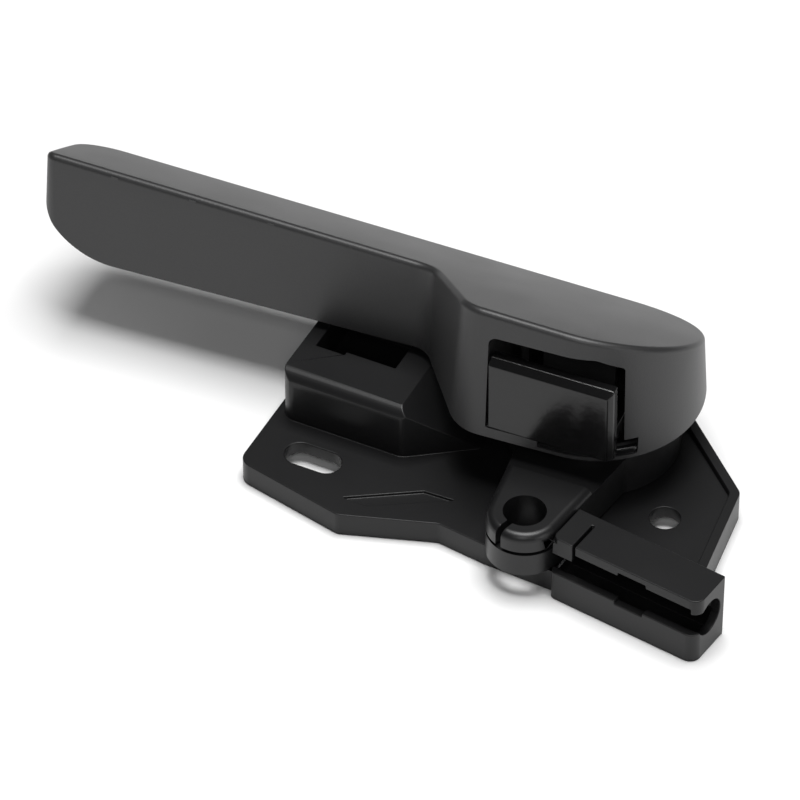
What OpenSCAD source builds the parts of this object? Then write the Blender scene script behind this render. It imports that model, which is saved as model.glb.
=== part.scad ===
// Hood release handle: a moulded bracket, a cable lever that turns on the bracket's post,
// and a long hollow handle that is pushed over the lever and held by a locking clip.
// Origin: the pivot axis on the bracket's underside. +X right, +Y back, +Z up.
// The grip points left, and pulling swings it back, clockwise seen from above.

/* [Bracket plate] */
// Height of the plate's top face above the mounting underside
plate_h = 6; // [5:0.1:8]
// Thickness of the plate's skin over the hollow underside
plate_skin = 3.2; // [2:0.1:4]
// Thickness of the skirt that runs round the underside
skirt_t = 2.4; // [1.6:0.1:3.2]
// Left edge of the plate, as a distance from the pivot
plate_left = 66.5; // [62:0.5:72]
// Front left corner of the plate, as a distance in front of the pivot
plate_left_front = 41.2; // [38:0.1:44]
// Foremost corner of the plate's left half
nose = [-39.5, -47.1]; // [-50:0.1:50]
// Inner corner between the nose and the lever's bay
bay_left = [-18.5, -39.9]; // [-50:0.1:50]
// Front edge of the plate below the lever's eye
bay_right = [-6.6, -41.5]; // [-50:0.1:50]
// Front corner of the right wing, behind the cable channel
wing_front = [40.4, -34]; // [-50:0.1:50]
// Outer corner of the right wing
wing_corner = [36.8, -3.6]; // [-50:0.1:50]
// Second corner of the right wing, where its long chamfer starts
wing_chamfer = [32.3, 0.6]; // [-50:0.1:50]
// Back end of the long chamfer, behind the drum
wing_back = [8, 23]; // [-50:0.1:50]
// Back edge of the plate, as a distance behind the pivot
plate_back = 25; // [22:0.5:32]
// Back edge of the plate's left half, as a distance behind the pivot
plate_left_back = 15; // [12:0.5:20]
// Corner radius of the plate's outline
plate_r = 2.5; // [1:0.1:4]
// Height of the rim on the right wing above the plate
rim_h = 1.6; // [0.8:0.1:2.5]
// Width of the rim on the right wing
rim_w = 2.2; // [1.4:0.1:3]
// Number of ribs across the hollow underside of the platform
rib_count = 2; // [1:1:4]
// Thickness of the ribs
rib_t = 1.8; // [1.2:0.1:2.6]

/* [Bracket fixings] */
// Diameter of the round fixing hole
fix_d = 6.8; // [5:0.1:9]
// Place of the round fixing hole
fix_at = [24.7, -16.6]; // [-50:0.1:50]
// Width of the fixing slot
slot_w = 6.8; // [5:0.1:8]
// Length of the fixing slot between its round ends
slot_run = 6.5; // [2:0.1:10]
// Centre of the fixing slot
slot_at = [-52.2, -33.3]; // [-70:0.1:50]
// Depth of the shallow four-sided mark in the plate's top
mark_depth = 0.6; // [0.3:0.1:1]
// Wall left round the post in the hollow underside
boss_t = 3; // [2:0.1:4]

/* [Platform] */
// Height of the platform's top face
platform_h = 19.2; // [16:0.1:20.2]
// Left side of the platform, as a distance from the pivot
platform_left = 64.8; // [60:0.1:66]
// Front face of the platform, as a distance in front of the pivot
platform_front = 24.6; // [20:0.1:27]
// Back face of the platform, as a distance behind the pivot
platform_back = 13; // [8:0.1:14]
// Where the platform's front face turns into the lever's stop wall, left of the pivot
platform_turn = 35; // [32:0.1:35.5]
// Where the flat top ends and the ramp down to the drum starts, left of the pivot
ramp_top = 36; // [36:0.1:40]
// How far short of the drum's ring the ramp reaches the plate
ramp_lead = 0.9; // [0.4:0.1:3]
// Wall thickness of the platform
platform_t = 2.6; // [1.8:0.1:3.5]
// Vertical corner radius of the platform
platform_r = 3.5; // [1:0.1:5]
// Radius along the platform's top front edge
platform_edge_r = 3.2; // [1:0.1:5]
// Size of the pocket in the platform's top
pocket = [19, 16]; // [8:0.5:22]
// Depth of that pocket
pocket_depth = 9; // [4:0.5:12]
// Centre of that pocket
pocket_at = [-52, -4.2]; // [-60:0.1:10]
// How much further forward the left part of the pocket reaches
pocket_step = 1; // [0.5:0.1:1.5]
// Width of that part
pocket_step_w = 7; // [4:0.5:10]

/* [Cable channel] */
// Length of the channel
channel_len = 36.8; // [30:0.1:42]
// Width of the channel
channel_w = 11.7; // [10:0.1:14]
// Height of the channel
channel_h = 17; // [15:0.1:19]
// Angle at which the channel runs forward
channel_angle = 8; // [0:0.5:10]
// How far the channel's back face stands behind the eye's centre
channel_behind = 8; // [7:0.1:9]
// Running gap between the eye and the channel's end, at rest
eye_gap = 0.4; // [0.3:0.05:0.8]
// Corner radius of the channel's outer end
channel_r = 2.5; // [1:0.1:3]
// Corner radius of the channel beside the lever
channel_end_r = 1.5; // [0.5:0.1:2]
// Thickness of the channel's top flange
flange_t = 2.6; // [1.8:0.1:3.5]
// Wall thickness of the channel
channel_t = 2; // [1.4:0.1:2.6]
// Height of the channel's front lip
lip_h = 7.8; // [5:0.1:9]
// How far the top flange stands back from the front lip
flange_back = 1.1; // [0:0.1:2]
// Diameter of the hole for the cable's sheath in the channel's end wall
sheath_d = 8.5; // [6:0.1:9]
// Height of that hole's axis
sheath_z = 9.6; // [8:0.1:10]
// Height of the mouth through which the sheath is laid into that hole
sheath_mouth = 5.1; // [3:0.1:6]
// Width of the tab beside the slit in the flange
tab_w = 5; // [3:0.1:8]
// Width of the slit
slit_w = 0.7; // [0.4:0.1:1.5]
// Length of the slit from the flange's front edge
slit_run = 7.8; // [4:0.1:9]
// How far the tab hooks down below the flange
tab_drop = 2.2; // [1:0.1:3]
// Start and end of the notches in both lips, from the lever's end
lip_notch = [16.5, 23.5]; // [8:0.5:30]
// Depth of those notches
notch_depth = 0.9; // [0.4:0.1:1.5]
// Length and width of the two small wells behind the channel
well_size = [3, 1.4]; // [1:0.1:5]
// Where those wells start, from the lever's end
well_from = [3, 22]; // [2:0.5:30]
// How far those wells stand behind the channel
well_behind = 1.6; // [0.8:0.1:3]

/* [Pivot] */
// Diameter of the bracket's bearing post
post_d = 10; // [8.5:0.1:10.5]
// Height of the bearing post's top
post_h = 20.3; // [18:0.1:20.8]
// Running clearance on the post, on the radius
bearing_gap = 0.08; // [0.04:0.01:0.1]
// Vertical running clearance of the lever
lift_gap = 0.2; // [0.1:0.05:0.4]
// Thickness of the slip washer under the hub
slip_t = 1; // [0.6:0.1:1.6]
// Outer diameter of the slip washer
slip_d = 17; // [15:0.1:20]
// Wall thickness of the lever's hub round the post
hub_t = 2.6; // [2:0.1:3]
// Shank diameter of the pivot screw
screw_d = 5; // [4:0.1:6]
// Length of the pivot screw's shank below the retaining washer
screw_len = 14; // [10:0.5:16]
// Head diameter of the pivot screw
screw_head_d = 9.4; // [8:0.1:11]
// Head height of the pivot screw
screw_head_h = 3.4; // [2.5:0.1:4]
// Bevel round the top of the screw's head
screw_bevel = 1.3; // [0.6:0.1:1.6]
// Length and width of the slots of the screw's cross recess
cross_size = [5.6, 1.2]; // [1:0.1:6.4]
// Depth of the cross recess
cross_depth = 2; // [1:0.1:2.4]
// Outer diameter of the retaining washer
keeper_d = 13.4; // [12.6:0.1:13.8]
// Thickness of the retaining washer
keeper_t = 1.2; // [0.8:0.1:2]

/* [Return spring] */
// Wire diameter of the return spring
wire_d = 1.6; // [1.2:0.1:2]
// Mean diameter of the spring's coils
coil_d = 25; // [22:0.1:28]
// Number of turns
coil_turns = 3.5; // [2.5:0.25:4]
// Gap between neighbouring turns
coil_gap = 0.25; // [0.1:0.05:0.5]
// Length of the spring's two straight legs
leg_len = 3.2; // [2:0.1:4]
// Thickness of the block on the plate that holds the spring's lower leg
leg_stop_t = 1.6; // [1:0.1:2]

/* [Cable lever] */
// Outer radius of the lever's drum
drum_r = 19.4; // [18:0.1:20.5]
// Wall thickness of the drum
drum_t = 2.6; // [2:0.1:3]
// Running gap between the drum's foot and the plate
drum_gap = 0.4; // [0.2:0.1:0.8]
// Running gap between the arm's underside and the plate
arm_gap = 0.8; // [0.5:0.1:1.2]
// Height of the drum's top
drum_h = 21.1; // [20.8:0.1:21.2]
// Thickness of the drum's top web
web_t = 2.6; // [2:0.1:4]
// Distance from the pivot to the eye for the cable's nipple
eye_reach = 39.4; // [36:0.1:41]
// Angle of the eye from straight ahead, at rest
eye_angle = 2.5; // [0:0.1:4]
// Outer radius of the eye
eye_r = 8.4; // [7:0.1:9]
// Diameter of the eye's hole
eye_d = 9.5; // [7:0.1:10]
// Top of the eye's block
eye_h = 18; // [16:0.1:19]
// Radius along the top edge of the eye's block
eye_edge_r = 1.9; // [0.5:0.1:2.4]
// Top of the arm between the block and the drum
arm_h = 16.5; // [15:0.1:18]
// Angle by which the arm's left flank widens from the eye to the drum
arm_taper = 4.8; // [0:0.1:8]
// Distance from the pivot to the step between the arm and the eye's block
step_at = 27.5; // [25:0.1:30]
// Height of the groove for the wire
groove_z = 12.6; // [11:0.1:14]
// Width of the wire's groove
groove_w = 0.9; // [0.6:0.1:2]
// Depth of the wire's groove
groove_depth = 1.6; // [1:0.1:2.5]
// How far the wire's groove runs back past the eye's centre
groove_back = 3.4; // [0:0.1:6]
// Width of the slit through which the wire is laid in
eye_slit = 1.5; // [1:0.1:2.5]
// Angle of that slit, left of straight ahead
eye_slit_angle = 20; // [0:1:40]
// Radius of the fillets between arm and drum
arm_fillet = 4; // [2:0.5:6]
// Angle through which the handle can be pulled before the arm meets the stop wall
pull_angle = 32; // [29:0.5:33.5]
// Gap left between the arm and the stop wall at the end of the pull
stop_gap = 0.35; // [0.3:0.05:0.8]

/* [Drive tower] */
// Size of the tower that carries the handle
tower = [20, 18]; // [17.5:0.1:21]
// Height of the tower's top
tower_h = 32; // [31.5:0.1:32.4]
// Clearance round the retaining washer in the tower's well
well_gap = 0.3; // [0.2:0.05:0.5]
// Depth of the tower's side grooves for the clip
side_groove = 1.6; // [1:0.1:1.8]
// Height of the clip's arms
clip_arm_h = 4.5; // [3:0.1:5]
// How far the clip's arms stand out of the tower's side grooves
clip_arm_proud = 2; // [1:0.1:2.5]
// Height of the underside of the clip's arms
clip_arm_z = 25.6; // [25:0.1:26.5]

/* [Handle] */
// Angle of the handle to the bracket, at rest
handle_angle = 4.7; // [0:0.1:6]
// Height of the handle's lower edge
handle_z = 21.5; // [21:0.1:23]
// Outer radius of the handle's head
head_r = 24.3; // [23.5:0.1:26]
// Distance from the pivot to the tip of the grip
tip_x = 129.6; // [110:0.5:140]
// Front face of the grip, as a distance in front of the handle's axis
grip_front = 3; // [0:0.1:6]
// Back face of the grip, as a distance behind the handle's axis
grip_back = 23.6; // [20:0.1:24]
// Where the neck leaves the head, left of the pivot
neck_head = 23.2; // [20:0.1:26]
// Where the neck meets the grip's front, left of the pivot
neck_grip = 38.4; // [34:0.1:42]
// Radius of the neck's outer bend
neck_out_r = 10; // [4:0.5:12]
// Radius of the neck's inner bend
neck_in_r = 6; // [3:0.5:10]
// Corner radius at the front of the tip
tip_front_r = 4; // [2:0.5:6]
// Corner radius at the back of the tip
tip_back_r = 10; // [4:0.5:14]
// Radius of the tip's lower corner, seen from the front
tip_low_r = 18; // [8:0.5:22]
// Height of the top face over the pivot
crest_z = 42; // [40:0.1:44]
// Slope of the top face towards the back
crest_slope = 31; // [24:0.5:33]
// Rise of the top face towards the tip
crest_rise = 2.6; // [0:0.1:4]
// Radius of the top face's slight crown
crown_r = 350; // [200:10:600]
// Wall thickness of the handle
handle_t = 2.4; // [1.8:0.1:3]
// Number of cross ribs inside the grip
grip_ribs = 4; // [2:1:6]
// Thickness of the handle's inner ribs
inner_rib_t = 1.6; // [1.2:0.1:2.2]
// How far the cross ribs stay above the grip's lower edge
inner_rib_lift = 2.5; // [1:0.1:6]

/* [Window and clip] */
// Left side of the window, left of the pivot
window_left = 16.2; // [14:0.1:17]
// Right side of the window
window_right = 15.2; // [13:0.1:16]
// Bottom of the window above the handle's lower edge
window_sill = 2.6; // [2:0.1:4]
// Height of the window
window_h = 26; // [24:0.1:26.5]
// Corner radius of the window
window_r = 2; // [1:0.1:3]
// Width of the small notch at the window's lower right
catch_w = 3; // [2:0.1:4]
// Height of that notch
catch_h = 2.8; // [2:0.1:4]
// Where the window's cut ends inside the head, in front of the handle's axis
window_floor = 15.6; // [14:0.1:16.5]
// Height of the clip's face
clip_h = 19.4; // [17:0.1:21]
// Thickness of the clip's face plate
clip_t = 3.6; // [2.5:0.1:4.5]
// Left end of the clip's front face, in front of the handle's axis
clip_front = 24.2; // [23.9:0.1:25]
// Clearance of the clip in the window, left, right and below
clip_gap = 0.25; // [0.1:0.05:0.4]
// Gap between the clip's right side and the window
clip_side_gap = 1.6; // [0.8:0.1:2.5]
// Height of the bevel along the clip's top edge
clip_bevel = 1.5; // [0.8:0.1:2.5]
// Angle by which the clip's face leads forward at its right end
clip_skew = 2.1; // [0:0.1:3]
// How far the clip's foot reaches down over the window's sill
foot_drop = 1.7; // [1:0.1:1.8]
// Depth of the foot's recess in the head's wall
foot_t = 1.5; // [1:0.1:1.8]
// Left end of that recess, left of the pivot
foot_left = 4.5; // [0:0.5:10]
// Clearance between the tower, the clip's arms and the handle's socket
fit_gap = 0.2; // [0.1:0.05:0.3]

/* [Hidden] */
round_fn = 96;
cut = 0.5;              // how far cutting shapes run past the faces they open
far = 80;               // longer than any piece is tall
arc_steps = 8;
bite = 0.05;            // overlap of rounds and the faces that they run into, so none only touch

// Points of an outline with each corner p[i] rounded by radius r[i].
function unit(v) = v / norm(v);
function corner(a, p, b, r) =
    let (u = unit(a - p), v = unit(b - p), half = acos(u * v) / 2)
    r <= 0 || half > 89 ? [p] :
    let (reach = r / tan(half), c = p + unit(u + v) * r / sin(half),
         s = p + u * reach - c, e = p + v * reach - c,
         side = sign(s[0] * e[1] - s[1] * e[0]), turn = side * (180 - 2 * half),
         start = atan2(s[1], s[0]))
    [for (i = [0 : arc_steps])
        c + r * [cos(start + turn * i / arc_steps), sin(start + turn * i / arc_steps)]];
function rounded(p, r) =
    let (n = len(p))
    [for (i = [0 : n - 1]) each corner(p[(i + n - 1) % n], p[i], p[(i + 1) % n], r[i])];

// The same outline, listed anticlockwise, with every side moved inwards by d.
function inward(a, b) = let (t = unit(b - a)) [-t[1], t[0]];
function inset_corner(a, p, b, d) =
    let (n1 = inward(a, p), n2 = inward(p, b))
    p + d * (n1 + n2) / (1 + n1 * n2);
function inset(p, d) =
    let (n = len(p))
    [for (i = [0 : n - 1]) inset_corner(p[(i + n - 1) % n], p[i], p[(i + 1) % n], d)];

// Channel values: u runs along it from the lever's end, v runs back from its back face.
channel_dir = [cos(channel_angle), -sin(channel_angle)];
channel_across = [sin(channel_angle), cos(channel_angle)];
eye_at = eye_reach * [sin(eye_angle), -cos(eye_angle)];
channel_at = eye_at + (eye_r + eye_gap) * channel_dir + channel_behind * channel_across;
function in_channel(u, v) = channel_at + u * channel_dir + v * channel_across;

// Flanks of the arm, in the lever's own frame where the eye lies straight ahead. Side -1 is the
// left flank and side 1 the right one, which runs parallel to the channel's end.
function flank_tilt(side) = side < 0 ? arm_taper : channel_angle + eye_angle;
function flank_out(side) = [side * cos(flank_tilt(side)), -sin(flank_tilt(side))];
function flank_along(side) = [-side * sin(flank_tilt(side)), -cos(flank_tilt(side))];
function flank_off(side) = eye_r + eye_reach * sin(flank_tilt(side));

// The stop wall runs along a radius. Its inner end clears the arm's left flank by stop_gap
// when the lever is pulled as far as it goes.
wall_turn = [-platform_turn, -platform_front];
wall_angle = atan2(platform_front, platform_turn);
ramp_foot_r = (flank_off(-1) + stop_gap) / cos(wall_angle + pull_angle - eye_angle - arm_taper);
wall_foot = unit(wall_turn) * ramp_foot_r;

// Bracket values
mark_outline = [[-40.8, -41.6], [-35.1, -41.8], [-18.7, -31.8], [-25.8, -32.1]];
channel_mid = channel_w / 2;
cavity_h = plate_h - plate_skin;
plate_outline = [
    [-plate_left, plate_left_back], [-plate_left, -plate_left_front], nose, bay_left, bay_right,
    in_channel(channel_t, -channel_w + channel_t), in_channel(channel_len / 2, -channel_w + channel_t),
    in_channel(channel_len / 2, -channel_t), wing_front, wing_corner, wing_chamfer, wing_back,
    [0, plate_back], [-ramp_foot_r, plate_back], [-platform_turn, plate_left_back]];
plate_radii = [plate_r, plate_r + 1, plate_r, plate_r, plate_r, 0, 0, 0,
               0, plate_r, plate_r, plate_r, plate_r * 2, plate_r, plate_r];
platform_outline = [
    [-platform_left, platform_back], [-platform_left, -platform_front], wall_turn, wall_foot,
    [-ramp_foot_r, platform_back]];
ramp_top_x = -ramp_top;
ramp_foot_x = wall_foot[0] - ramp_lead;

// Hub and the heights of the stack on the post
hub_d = post_d + 2 * (bearing_gap + hub_t);
well_d = keeper_d + 2 * well_gap;
hub_z = plate_h + slip_t + lift_gap;
hub_top = post_h - lift_gap;
web_z = drum_h - web_t;
spring_z = plate_h + lift_gap;

// Handle values
handle_outline = [
    [0, -head_r], [0, head_r], [-tip_x, grip_back], [-tip_x, -grip_front],
    [-neck_grip, -grip_front], [-neck_head, -head_r]];
socket_in = tower / 2 + [fit_gap, fit_gap];
clip_arm_out = tower[0] / 2 + clip_arm_proud;
clip_arm_in = tower[0] / 2 - side_groove + fit_gap;
window_z = handle_z + window_sill;
clip_z = window_z + clip_gap;

// Bracket: plate, platform, post and cable channel in one moulding

module plate_shape(d) {
    polygon(rounded(inset(plate_outline, d), plate_radii));
}

module platform_plan(d) {
    difference() {
        polygon(rounded(inset(platform_outline, d), [platform_r, platform_r, platform_r, 0, 0]));
        circle(r = ramp_foot_r + d, $fn = round_fn);
    }
}

// The platform's long section, seen from the front: flat top, then the ramp towards the drum,
// which runs on down through the plate.
module platform_side(d) {
    slope = (platform_h - plate_h) / (ramp_foot_x - ramp_top_x);
    drop = d * sqrt(1 + slope * slope);
    polygon([[-platform_left - cut, -cut], [-platform_left - cut, platform_h - d],
             [ramp_top_x - (drop - d) / slope, platform_h - d],
             [ramp_foot_x + (plate_h - drop + cut) / slope, -cut]]);
}

module platform_form(d) {
    intersection() {
        translate([0, 0, -cut]) linear_extrude(platform_h + 2 * cut) platform_plan(d);
        from_the_front() platform_side(d);
    }
}

// What the rounding along the platform's top front edge takes away.
module platform_edge() {
    r = platform_edge_r;
    translate([-platform_left - cut, -platform_front, platform_h])
        difference() {
            translate([0, -cut, -r]) cube([platform_left + cut, r + cut, r + cut]);
            translate([-cut, r, -r]) rotate([0, 90, 0]) cylinder(r = r, h = far * 2, $fn = round_fn);
        }
}

module channel_block() {
    front = channel_w - flange_back;
    difference() {
        union() {
            linear_extrude(channel_h)
                polygon(rounded([[channel_len, 0], [0, 0], [0, -front], [channel_len, -front]],
                                [0, 0, channel_end_r, channel_r]));
            linear_extrude(lip_h)
                polygon(rounded([[channel_len, 0], [0, 0], [0, -channel_w], [channel_len, -channel_w]],
                                [0, 0, channel_end_r, channel_r]));
        }
        // open front between the lip and the flange
        translate([-cut, -channel_w - cut, lip_h])
            cube([channel_len - channel_t + cut, channel_w - channel_t + cut,
                  channel_h - flange_t - lip_h]);
        // keyhole in the end wall
        translate([channel_len - channel_t - cut, -channel_mid, sheath_z])
            rotate([0, 90, 0]) cylinder(d = sheath_d, h = channel_t + 2 * cut, $fn = round_fn);
        translate([channel_len - channel_t - cut, -channel_w - cut, lip_h])
            cube([channel_t + 2 * cut, channel_mid + cut, sheath_mouth]);
        // slit beside the tab
        translate([tab_w, -front - cut, channel_h - flange_t - cut])
            cube([slit_w, slit_run + cut, flange_t + 2 * cut]);
        // notches in both lips
        translate([lip_notch[0], -channel_w - cut, lip_h - notch_depth])
            cube([lip_notch[1] - lip_notch[0], channel_t + 2 * cut, notch_depth + cut]);
        translate([lip_notch[0], -channel_w - cut, channel_h - flange_t - cut])
            cube([lip_notch[1] - lip_notch[0], channel_t + cut, notch_depth + cut]);
    }
    // hooked front of the tab
    translate([0, -front, channel_h - flange_t - tab_drop])
        cube([tab_w, channel_t, tab_drop + flange_t / 2]);
}

// The trough for the cable, cut through the channel and the plate.
module trough() {
    translate([-channel_t, -channel_w + channel_t, channel_t])
        cube([channel_len, channel_w - 2 * channel_t, channel_h - flange_t - channel_t]);
}

module underside() {
    difference() {
        translate([0, 0, -cut]) linear_extrude(cavity_h + cut) plate_shape(skirt_t);
        // material kept round the post and under the channel
        translate([0, 0, -2 * cut]) cylinder(r = post_d / 2 + boss_t, h = far, $fn = round_fn);
        translate(channel_at) rotate(-channel_angle)
            translate([-channel_t, -far, -2 * cut]) cube([far, far, far]);
    }
    difference() {
        platform_form(platform_t);
        for (i = [1 : rib_count])
            translate([-platform_left + i * (platform_left - ramp_foot_r) / (rib_count + 1) - rib_t / 2,
                       -far, -cut])
                cube([rib_t, 2 * far, far]);
        // floor and walls of the pocket
        translate([pocket_at[0] - pocket[0] / 2 - platform_t, pocket_at[1] - pocket[1] / 2 - platform_t,
                   platform_h - pocket_depth - platform_t])
            cube([pocket[0] + 2 * platform_t, pocket[1] + 2 * platform_t, far]);
    }
}

module rim() {
    difference() {
        linear_extrude(plate_h + rim_h) plate_shape(0);
        translate([0, 0, -cut]) linear_extrude(far) plate_shape(rim_w);
        // the rim runs from the channel to the end of the long chamfer
        translate([-far + wing_back[0], -far, -cut]) cube([far, 2 * far, far]);
        translate([0, 0, -cut]) linear_extrude(far)
            polygon([[0, -far], [0, 0], in_channel(0, 0),
                     in_channel(channel_len, 0), in_channel(channel_len, -far)]);
    }
}

module bracket() {
    color([0.09, 0.09, 0.095])
    difference() {
        union() {
            linear_extrude(plate_h) plate_shape(0);
            difference() {
                platform_form(0);
                platform_edge();
                translate([-far, -far, -far]) cube([2 * far, 2 * far, far]);
            }
            rim();
            translate([channel_at[0], channel_at[1], 0]) rotate(-channel_angle) channel_block();
            cylinder(d = post_d, h = post_h, $fn = round_fn);
            // stop for the spring's lower leg
            translate([coil_d / 2 - wire_d, -leg_len - lift_gap - leg_stop_t, plate_h - cut])
                cube([2 * wire_d, leg_stop_t, lift_gap + wire_d + cut]);
        }
        underside();
        translate([channel_at[0], channel_at[1], 0]) rotate(-channel_angle) trough();
        translate([pocket_at[0] - pocket[0] / 2, pocket_at[1] - pocket[1] / 2, platform_h - pocket_depth]) {
            cube([pocket[0], pocket[1], pocket_depth + cut]);
            translate([0, -pocket_step, 0]) cube([pocket_step_w, pocket[1], pocket_depth + cut]);
        }
        translate([fix_at[0], fix_at[1], -cut]) cylinder(d = fix_d, h = far, $fn = round_fn);
        translate([slot_at[0], slot_at[1], -cut]) {
            for (s = [-1, 1])
                translate([s * slot_run / 2, 0, 0]) cylinder(d = slot_w, h = far, $fn = round_fn);
            translate([-slot_run / 2, -slot_w / 2, 0]) cube([slot_run, slot_w, far]);
        }
        // shallow four-sided mark on the plate
        translate([0, 0, plate_h - mark_depth]) linear_extrude(mark_depth + cut)
            polygon(mark_outline);
        // two small wells behind the channel
        for (u = well_from)
            translate(concat(in_channel(u, well_behind), plate_h - 2 * mark_depth))
                rotate(-channel_angle) cube(concat(well_size, 2 * mark_depth + cut));
        // pilot hole for the pivot screw
        translate([0, 0, post_h - screw_len]) cylinder(d = screw_d, h = far, $fn = round_fn);
    }
}

// Ring that the hub turns on
module slip_washer() {
    color([0.82, 0.81, 0.76])
    translate([0, 0, plate_h])
        difference() {
            cylinder(d = slip_d, h = slip_t, $fn = round_fn);
            translate([0, 0, -cut])
                cylinder(r = post_d / 2 + bearing_gap, h = slip_t + 2 * cut, $fn = round_fn);
        }
}

// Torsion spring round the hub, inside the drum
spring_step = wire_d + coil_gap;
wire_sides = 8;
turn_rings = 28;
coil_rings = ceil(coil_turns * turn_rings);
function coil_point(t) =
    [coil_d / 2 * cos(t), coil_d / 2 * sin(t), spring_z + wire_d / 2 + spring_step * t / 360];
function wire_path() =
    let (a1 = coil_turns * 360, p0 = coil_point(0), p1 = coil_point(a1))
    concat([p0 - [0, leg_len, 0]],
           [for (i = [0 : coil_rings]) coil_point(a1 * i / coil_rings)],
           [p1 + leg_len * [-sin(a1), cos(a1), 0]]);
function wire_ring(p, t) =
    let (side = unit(cross([0, 0, 1], t)), up = cross(t, side))
    [for (k = [0 : wire_sides - 1])
        p + wire_d / 2 * (side * cos(360 * k / wire_sides) + up * sin(360 * k / wire_sides))];

module return_spring() {
    path = wire_path();
    n = len(path);
    rings = [for (i = [0 : n - 1])
        wire_ring(path[i], unit(path[min(i + 1, n - 1)] - path[max(i - 1, 0)]))];
    color([0.55, 0.56, 0.58])
    polyhedron(
        points = [for (ring = rings) each ring],
        faces = concat(
            [[for (k = [0 : wire_sides - 1]) k]],
            [[for (k = [0 : wire_sides - 1]) (n - 1) * wire_sides + wire_sides - 1 - k]],
            [for (i = [0 : n - 2]) for (k = [0 : wire_sides - 1])
                let (a = i * wire_sides + k, b = i * wire_sides + (k + 1) % wire_sides)
                [a, a + wire_sides, b + wire_sides, b]]));
}

// Cable lever: drum, hub, arm with the eye, and the tower that carries the handle

module arm_plan() {
    eye = [0, -eye_reach];
    left = flank_out(-1);
    right = flank_out(1);
    polygon([(flank_off(-1) - bite) * left, eye + (eye_r - bite) * left,
             eye + (eye_r - bite) * right, (flank_off(1) - bite) * right]);
    translate(eye) circle(r = eye_r, $fn = round_fn);
}

// What the rounding along the top edge of the eye's block takes away: round the eye, and along
// both flanks back to the step.
module eye_edge_section(at) {
    difference() {
        translate([at - eye_edge_r, -eye_edge_r]) square(eye_edge_r + cut);
        translate([at - eye_edge_r, -eye_edge_r]) circle(r = eye_edge_r, $fn = round_fn);
    }
}

module eye_edge() {
    translate([0, -eye_reach, eye_h]) rotate(180 + flank_tilt(-1))
        rotate_extrude(angle = 180 - flank_tilt(-1) - flank_tilt(1), $fn = round_fn)
            eye_edge_section(eye_r);
    intersection() {
        for (side = [-1, 1]) {
            out = flank_out(side);
            to_eye = eye_reach * cos(flank_tilt(side)) + eye_edge_r;
            translate([0, 0, eye_h]) rotate(atan2(out[1], out[0])) rotate([90, 0, 0])
                translate([0, 0, side < 0 ? -to_eye : 0]) linear_extrude(to_eye)
                    eye_edge_section(flank_off(side) - bite);
        }
        translate([-far, -step_at - far, 0]) cube([2 * far, far, far]);
    }
}

// Fillets where the arm's flanks run into the drum.
module arm_fillets() {
    for (side = [-1, 1]) {
        from_pivot = drum_r + arm_fillet - bite;
        from_flank = flank_off(side) + arm_fillet - 2 * bite;
        c = from_flank * flank_out(side)
            + sqrt(pow(from_pivot, 2) - pow(from_flank, 2)) * flank_along(side);
        difference() {
            polygon([[0, 0], c, c - (arm_fillet + cut) * flank_out(side)]);
            translate(c) circle(r = arm_fillet, $fn = round_fn);
        }
    }
}

module cable_lever() {
    color([0.1, 0.1, 0.105])
    difference() {
        union() {
            translate([0, 0, plate_h + drum_gap])
                cylinder(r = drum_r, h = drum_h - plate_h - drum_gap, $fn = round_fn);
            rotate(eye_angle) {
                translate([0, 0, plate_h + arm_gap])
                    linear_extrude(arm_h - plate_h - arm_gap) {
                        arm_plan();
                        arm_fillets();
                    }
                translate([0, 0, arm_h - cut]) linear_extrude(eye_h - arm_h + cut)
                    intersection() {
                        arm_plan();
                        translate([-far, -step_at - far]) square([2 * far, far]);
                    }
            }
            rotate(handle_angle)
                translate([-tower[0] / 2, -tower[1] / 2, drum_h - cut])
                    cube([tower[0], tower[1], tower_h - drum_h + cut]);
        }
        rotate(eye_angle) eye_edge();
        // space for the return spring, open below
        difference() {
            cylinder(r = drum_r - drum_t, h = web_z, $fn = round_fn);
            translate([0, 0, hub_z]) cylinder(d = hub_d, h = far, $fn = round_fn);
        }
        cylinder(r = post_d / 2 + bearing_gap, h = far, $fn = round_fn);
        // well for the screw and its washer, down to the hub's top
        translate([0, 0, hub_top]) cylinder(d = well_d, h = far, $fn = round_fn);
        rotate(eye_angle) translate([0, -eye_reach, 0]) {
            translate([0, 0, -cut]) cylinder(d = eye_d, h = far, $fn = round_fn);
            // slit in the upper layer, and the wire's groove all round
            translate([0, 0, groove_z]) {
                rotate(-eye_slit_angle) translate([-eye_slit / 2, -2 * eye_r, 0])
                    cube([eye_slit, 2 * eye_r, far]);
                difference() {
                    translate([-2 * eye_r, -2 * eye_r, 0])
                        cube([4 * eye_r, 2 * eye_r + groove_back, groove_w]);
                    translate([0, 0, -cut]) cylinder(r = eye_r - groove_depth, h = far, $fn = round_fn);
                    translate([-eye_r + groove_depth, 0, -cut])
                        cube([2 * (eye_r - groove_depth), far, far]);
                }
            }
        }
        // grooves for the clip's arms in both sides of the tower
        rotate(handle_angle) for (s = [-1, 1])
            translate([s * tower[0] / 2 - side_groove, -far / 2, clip_arm_z - fit_gap])
                cube([2 * side_groove, far, clip_arm_h + 2 * fit_gap]);
    }
}

module retaining_washer() {
    color([0.7, 0.7, 0.72])
    translate([0, 0, post_h])
        difference() {
            cylinder(d = keeper_d, h = keeper_t, $fn = round_fn);
            translate([0, 0, -cut])
                cylinder(d = screw_d + 2 * fit_gap, h = keeper_t + 2 * cut, $fn = round_fn);
        }
}

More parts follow.
